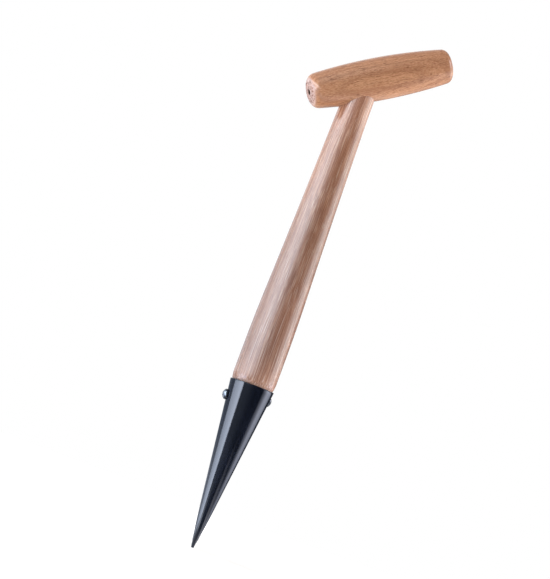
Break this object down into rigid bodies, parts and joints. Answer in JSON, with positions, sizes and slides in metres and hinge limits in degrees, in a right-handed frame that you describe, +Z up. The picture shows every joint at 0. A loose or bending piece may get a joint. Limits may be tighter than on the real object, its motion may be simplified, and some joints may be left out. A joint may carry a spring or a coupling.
{
  "type": "t-handle dibber",
  "caption": "Hand dibber with a slanted turned beech T-grip, a tapered beech shaft and a screwed-on black steel cone point for making planting holes.",
  "frame": {"origin": "the cone's point, where the tool enters the soil", "axes": "+Z up the shaft from the point to the grip, +X towards the grip's higher end, +Y across the grip, to the back of the tool where the cone's seam lies"},
  "size_m": [0.0982, 0.032, 0.39],
  "materials": {
    "grip_beech": "satin lacquer",
    "shaft_beech": "gloss lacquer",
    "black_paint": "gloss black paint",
    "zinc": "zinc plated"
  },
  "bodies": {
    "root": {"grip": "grip_beech", "shaft": "shaft_beech", "steel_cone": "black_paint", "near_screw": "zinc", "far_screw": "zinc"}
  },
  "joints": []
}
